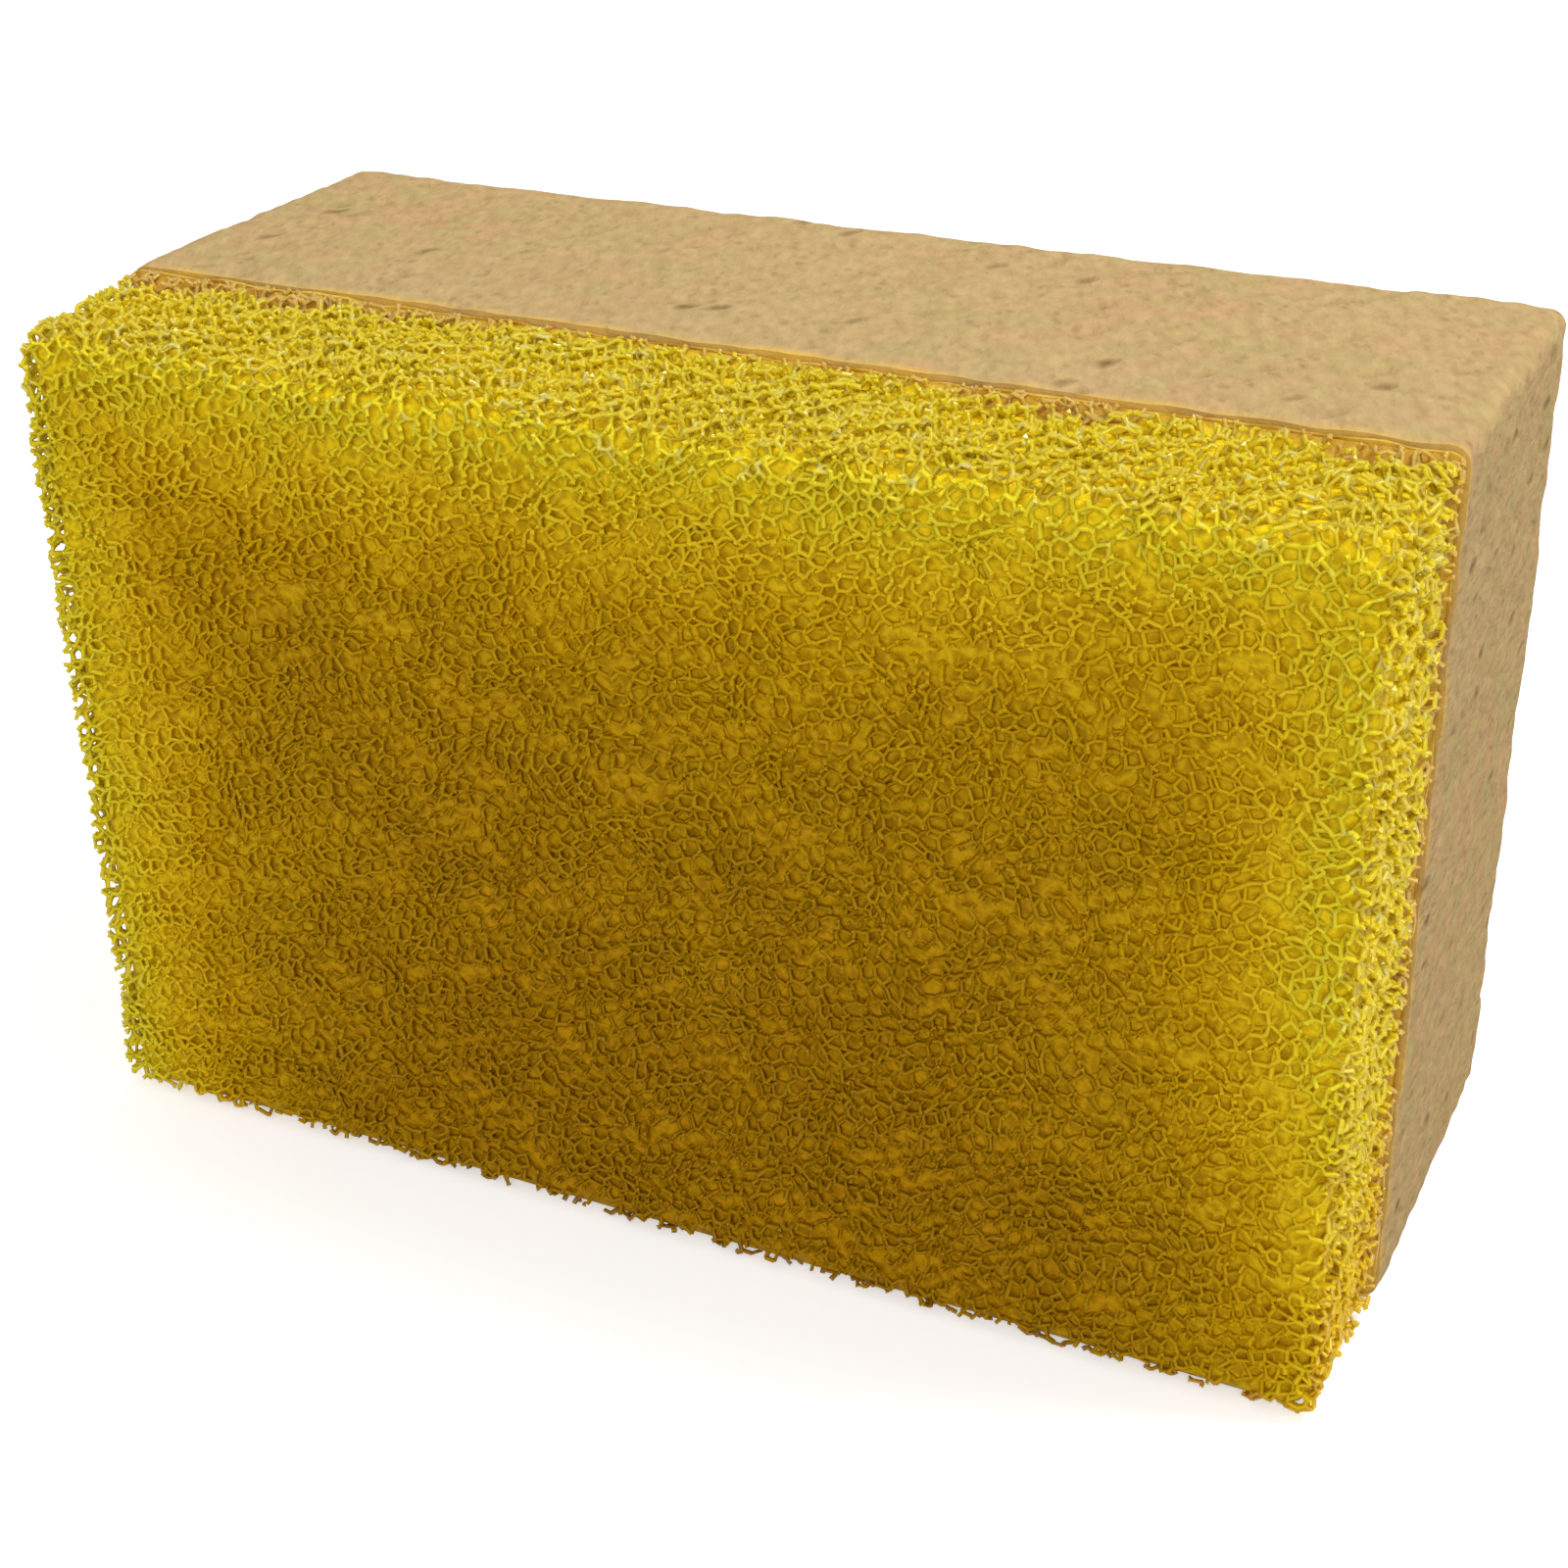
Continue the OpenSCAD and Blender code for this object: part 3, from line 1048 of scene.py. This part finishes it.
    def threads(self) -> tuple[np.ndarray, np.ndarray]:
        """Cuts the net at the layer's surface.

        Returns:
            The two ends of each thread.
        """
        points, pairs = self.lattice()
        depth = self.depth(points)
        back = self.high.y + self.into_glue - self.thread_r - points[:, 1]
        inside = np.minimum(depth, back)
        a, b = pairs[:, 0], pairs[:, 1]
        shallow = (depth < self.reach(points))[pairs].all(axis=1)
        keep = shallow & ((inside[a] > 0) | (inside[b] > 0))
        a, b = a[keep], b[keep]
        swap = inside[a] < 0
        a, b = np.where(swap, b, a), np.where(swap, a, b)
        cut = inside[a] / (inside[a] - np.minimum(inside[b], -TINY))
        share = np.where(inside[b] < 0, cut, 1.0)
        draw = np.random.default_rng(self.seed + 1)
        on_right = points[a][:, 0] > self.high.x - self.right_edge
        chance = np.where(on_right, self.right_stub_chance, self.stub_chance)
        chance[points[a][:, 2] < self.low.z + self.base_edge] = self.base_stub_chance
        stub = (share > self.shortest) & (draw.random(len(a)) < chance)
        kept = (share > self.whole) | stub
        a, b, share = a[kept], b[kept], share[kept][:, None]
        return points[a], points[a] + (points[b] - points[a]) * share

    def rim(self, points: np.ndarray) -> np.ndarray:
        """Works out the painted light at the rim and the painted shade towards the base.

        Args:
            points: Rows of x, y and z.

        Returns:
            Values from 0 inside to 1 at the rim.
        """
        # Painted light: lighter near the top and the ends, where light comes through the thin
        # edges,
        # and less so low on the right. Painted shade: darker towards the base, less at the very
        # bottom and fading out at the left end.
        up = points[:, 2] - self.low.z
        top = np.exp(-(self.high.z - points[:, 2]) / self.rim_fade)
        left = np.exp((self.low.x - points[:, 0]) / self.rim_fade)
        rise = self.right_least + (1 - self.right_least) * np.clip(up / self.right_rise, 0, 1)
        right = np.exp((points[:, 0] - self.high.x) / self.right_fade) * rise
        low = self.low_shade * np.clip(1 - up / self.low_rise, 0, 1)
        low -= self.low_lift * np.exp(-up / self.low_lift_rise)
        low *= np.clip((points[:, 0] - self.low.x) / self.low_start, 0, 1)
        near = np.maximum(top, np.maximum(left, right))
        return np.clip(self.rim_least + (1 - self.rim_least) * near - low, 0, 1)

    def soak(self, points: np.ndarray) -> np.ndarray:
        """Works out how much glue has soaked into the foam.

        Args:
            points: Rows of x, y and z.

        Returns:
            Values from 0 for none to 1 for full.
        """
        gap = self.high.y - points[:, 1]
        patch = np.zeros(len(points))
        for start, end in self.soaked_mm:
            from_end = np.minimum(points[:, 0] - start * MM, end * MM - points[:, 0])
            patch = np.maximum(patch, np.clip(from_end / self.soak_ends + 0.5, 0, 1))
        least, more = self.soak_mm
        level, swing = self.soak_share
        reach = (least + more * patch * (level + swing * self.soak_hills.at(points))) * MM
        return np.clip((reach - gap) / self.soak_fade + 0.5, 0, 1)

    def tubes(self) -> bpy.types.NodeTree:
        """Makes the node group that turns a net's edges into closed tubes.

        Returns:
            The node group.
        """
        tree = bpy.data.node_groups.new("threads", "GeometryNodeTree")
        tree.interface.new_socket("Geometry", in_out="INPUT", socket_type="NodeSocketGeometry")
        tree.interface.new_socket("Geometry", in_out="OUTPUT", socket_type="NodeSocketGeometry")
        start, end = tree.nodes.new("NodeGroupInput"), tree.nodes.new("NodeGroupOutput")
        curve = tree.nodes.new("GeometryNodeMeshToCurve")
        profile = tree.nodes.new("GeometryNodeCurvePrimitiveCircle")
        profile.inputs["Resolution"].default_value = self.sides
        profile.inputs["Radius"].default_value = self.thread_r
        width = tree.nodes.new("GeometryNodeInputNamedAttribute")
        width.inputs["Name"].default_value = "width"
        sweep = tree.nodes.new("GeometryNodeCurveToMesh")
        sweep.inputs["Fill Caps"].default_value = True
        tree.links.new(start.outputs[0], curve.inputs["Mesh"])
        tree.links.new(curve.outputs["Curve"], sweep.inputs["Curve"])
        tree.links.new(profile.outputs["Curve"], sweep.inputs["Profile Curve"])
        tree.links.new(width.outputs["Attribute"], sweep.inputs["Scale"])
        tree.links.new(sweep.outputs["Mesh"], end.inputs[0])
        return tree

    def net_piece(
        self,
        name: str,
        ends: np.ndarray,
        values: dict[str, np.ndarray],
        group: bpy.types.NodeTree,
        finish: bpy.types.Material,
        view: View,
    ) -> bpy.types.Object:
        """Makes one piece of the net.

        Args:
            name: The piece's name.
            ends: The ends of its threads, two rows to a thread.
            values: The attributes of those ends, by name.
            group: The node group that makes tubes.
            finish: The threads' material.
            view: The flat view that its bake map is laid out in.

        Returns:
            The new object.
        """
        net = bpy.data.meshes.new(name)
        net.from_pydata(ends.tolist(), np.arange(len(ends)).reshape(-1, 2).tolist(), [])
        write_values(net, values)
        holder = bpy.data.objects.new(name, net)
        bpy.context.scene.collection.objects.link(holder)
        modifier = holder.modifiers.new("threads", "NODES")
        modifier.node_group = group
        graph = bpy.context.evaluated_depsgraph_get()
        mesh = bpy.data.meshes.new_from_object(holder.evaluated_get(graph))
        bpy.data.objects.remove(holder)
        mesh.shade_smooth()
        self.lay_out(mesh, view)
        piece = add_piece(name, mesh, finish, self.node)
        return piece

    def lay_out(self, mesh: bpy.types.Mesh, view: View) -> None:
        """Adds the bake map: a flat view of the piece, once for each band of depth.

        Args:
            mesh: The piece's mesh.
            view: The flat view.
        """
        low, high = np.array(self.low), np.array(self.high)
        place = (read_rows(mesh) - low) / (high - low)
        band = np.empty(len(mesh.vertices))
        mesh.attributes["band"].data.foreach_get("value", band)
        flat = np.clip(place[:, list(view.value)], self.map_edge, 1 - self.map_edge)
        flat[:, 1] = (flat[:, 1] + np.round(band)) / self.bands
        corner = np.empty(len(mesh.loops), dtype=np.int32)
        mesh.loops.foreach_get("vertex_index", corner)
        mesh.uv_layers.new(name="OFBake").data.foreach_set("uv", flat[corner].ravel())

    def core(self) -> bpy.types.Object:
        """Builds and dresses the shaded core behind the modelled threads.

        Returns:
            The core.
        """
        low = self.low + Vector((self.left_inset, self.core_inset, self.base_inset))
        high = self.high - Vector((self.right_inset, 0, self.rim_inset))
        radii = (self.core_corner_r, self.core_back_r, self.core_edge_r)
        mesh = Slab(low, high, self.core_step, *radii, plain_y=(high.y,)).mesh("scrub_core")
        points = read_rows(mesh)
        flare = np.clip(1 - (high.y - points[:, 1]) / self.collar, 0, 1) ** 2
        for axis in (0, 2):
            near, far = self.low[axis] + self.collar_inset, self.high[axis] - self.collar_inset
            wide = near + (points[:, axis] - low[axis]) * (far - near) / (high[axis] - low[axis])
            points[:, axis] += flare * (wide - points[:, axis])
        write_values(mesh, {"rim": self.rim(points), "glue": self.soak(points)})
        loose = np.clip((high.y - points[:, 1]) / MM, 0, 1)
        push = self.core_push * np.minimum(self.core_hills.at(points), self.core_push_most)
        push = push * loose * (points[:, 2] > low.z + MM)
        write_points(mesh, points + read_rows(mesh, "normal") * push[:, None])
        piece = add_piece("scrub_core", mesh, CoreFinish().material(), self.node)
        return piece

    def sort(self, middle: np.ndarray) -> dict[str, tuple[np.ndarray, View]]:
        """Sorts the threads into pieces by the side that they lie on.

        Args:
            middle: The middle of each thread.

        Returns:
            For each piece, by name, which threads it has and the flat view of its bake map.
        """
        in_front = middle[:, 1] - self.low.y < self.outline_depth(middle)
        half = np.array([self.high.x - self.low.x, 1, self.high.z - self.low.z]) / 2
        off = (middle - np.array((self.low + self.high) / 2)) / half
        x, z, third = off[:, 0], off[:, 2], 1 / 3
        on_end = (1 - np.abs(x)) * half[0] < (1 - np.abs(z)) * half[2]
        level, upright = ~in_front & ~on_end, ~in_front & on_end
        return {
            "threads_front_left": (in_front & (x < -third), View.FRONT),
            "threads_front_middle": (in_front & (np.abs(x) <= third), View.FRONT),
            "threads_front_right": (in_front & (x > third), View.FRONT),
            "threads_top": (level & (z > 0), View.ABOVE),
            "threads_base": (level & (z <= 0), View.ABOVE),
            "threads_left_end": (upright & (x <= 0), View.END),
            "threads_right_end": (upright & (x > 0), View.END),
        }

    def build(self) -> list[bpy.types.Object]:
        """Builds and dresses the core and the threads.

        Returns:
            The core and the pieces of the net.
        """
        self.low, self.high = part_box(self.node)
        first, second = self.threads()
        middle = (first + second) / 2
        draw = np.random.default_rng(self.seed + 2)
        thickness = draw.uniform(*self.thickness, len(middle))
        deep = np.clip(self.depth(middle) / self.left_shell, 0, 1)
        band = np.minimum(np.floor(deep * self.bands), self.bands - 1)
        group = self.tubes()
        front = ThreadFinish(name="front_threads", roughness=0.5, gloss=0.12, see_through=0.3)
        rim = ThreadFinish(name="rim_threads", roughness=0.2, gloss=0.9)
        dull, glossy = front.material(), rim.material()
        made = [self.core()]
        for name, (chosen, view) in self.sort(middle).items():
            ends = np.stack([first[chosen], second[chosen]], axis=1).reshape(-1, 3)
            values = {
                "width": np.repeat(thickness[chosen], 2),
                "band": np.repeat(band[chosen], 2),
                "depth": np.clip(self.depth(ends) / self.left_shell, 0, 1),
                "rim": self.rim(ends),
                "glue": self.soak(ends),
            }
            finish = dull if view is View.FRONT else glossy
            made.append(self.net_piece(name, ends, values, group, finish, view))
        return made


@dataclass
class Studio:
    """The floor, the soft light and the camera, with its angles in degrees."""

    yaw: float = 26.2734
    pitch: float = 27.7936
    roll: float = -1.0977
    distance: float = 236.05 * MM
    lens: float = 59.27
    sensor: float = 36.0
    nearest: float = 10 * MM
    aim: tuple[float, float, float] = (-0.01 * MM, 0.0, 32.6 * MM)
    floor_half: float = 4.0
    ambient: float = 0.62
    ambient_colour: Colour = (1.0, 0.99, 0.97, 1)
    key_power: float = 3.1
    key_size: float = 0.22
    key_at: tuple[float, float, float] = (0.37, 0.17, 0.69)
    fill_power: float = 3.0
    fill_size: float = 0.5
    fill_at: tuple[float, float, float] = (0.3, -0.8, 0.52)

    def add_floor(self) -> None:
        """Lays the floor under the sponge."""
        bm = bmesh.new()
        bmesh.ops.create_grid(bm, x_segments=1, y_segments=1, size=self.floor_half)
        mesh = bpy.data.meshes.new("floor")
        bm.to_mesh(mesh)
        bm.free()
        mesh.materials.append(FloorFinish().material())
        floor = bpy.data.objects.new("floor", mesh)
        bpy.context.scene.collection.objects.link(floor)

    def add_lamp(
        self, name: str, at: tuple[float, float, float], power: float, size: float
    ) -> None:
        """Hangs a soft square lamp that points at the sponge.

        Args:
            name: The lamp's name.
            at: Its place in metres.
            power: Its power in watts.
            size: The side of the square in metres.
        """
        lamp = bpy.data.lights.new(name, "AREA")
        lamp.energy = power
        lamp.size = size
        holder = bpy.data.objects.new(name, lamp)
        bpy.context.scene.collection.objects.link(holder)
        away = Vector(at) - Vector(self.aim)
        turn = away.to_track_quat("Z", "Y").to_matrix().to_4x4()
        holder.matrix_world = Matrix.Translation(at) @ turn

    def add_sky(self) -> None:
        """Makes the even light from all round, which the camera sees as white."""
        world = bpy.data.worlds.new("studio")
        bpy.context.scene.world = world
        world.use_nodes = True
        tree = world.node_tree
        tree.nodes.clear()
        output = tree.nodes.new("ShaderNodeOutputWorld")
        room = tree.nodes.new("ShaderNodeBackground")
        white = tree.nodes.new("ShaderNodeBackground")
        room.inputs["Color"].default_value = self.ambient_colour
        room.inputs["Strength"].default_value = self.ambient
        white.inputs["Color"].default_value = WHITE
        path = tree.nodes.new("ShaderNodeLightPath")
        blend = tree.nodes.new("ShaderNodeMixShader")
        tree.links.new(path.outputs["Is Camera Ray"], blend.inputs[0])
        tree.links.new(room.outputs[0], blend.inputs[1])
        tree.links.new(white.outputs[0], blend.inputs[2])
        tree.links.new(blend.outputs[0], output.inputs["Surface"])

    def add_camera(self) -> None:
        """Sets the camera where the photograph was taken from."""
        yaw, pitch = math.radians(self.yaw), math.radians(self.pitch)
        level = math.cos(pitch)
        back = Vector((math.sin(yaw) * level, -math.cos(yaw) * level, math.sin(pitch)))
        right = Vector((math.cos(yaw), math.sin(yaw), 0))
        up = back.cross(right)
        turn = Matrix((right, up, back)).transposed()
        turn = turn @ Matrix.Rotation(math.radians(self.roll), 3, "Z")
        camera = bpy.data.cameras.new("camera")
        camera.lens = self.lens
        camera.sensor_width = self.sensor
        camera.clip_start = self.nearest
        holder = bpy.data.objects.new("camera", camera)
        bpy.context.scene.collection.objects.link(holder)
        place = Matrix.Translation(Vector(self.aim) + back * self.distance)
        holder.matrix_world = place @ turn.to_4x4()
        bpy.context.scene.camera = holder

    def build(self) -> None:
        """Sets up the whole studio."""
        self.add_camera()
        self.add_floor()
        self.add_sky()
        self.add_lamp("key", self.key_at, self.key_power, self.key_size)
        self.add_lamp("fill", self.fill_at, self.fill_power, self.fill_size)
        bpy.context.scene.view_settings.view_transform = "Standard"


def report(piece: bpy.types.Object) -> None:
    """Logs a piece's name and its number of triangles."""
    triangles = sum(len(p.vertices) - 2 for p in piece.data.polygons)
    LOG.info("%s: %d triangles", piece.name, triangles)


def main() -> None:
    """Builds the studio and every piece."""
    logging.basicConfig(level=logging.INFO, format="%(name)s %(message)s")
    Studio().build()
    report(FoamBlock().build())
    report(GlueFilm().build())
    for piece in ScrubLayer().build():
        report(piece)


if __name__ == "__main__":
    main()
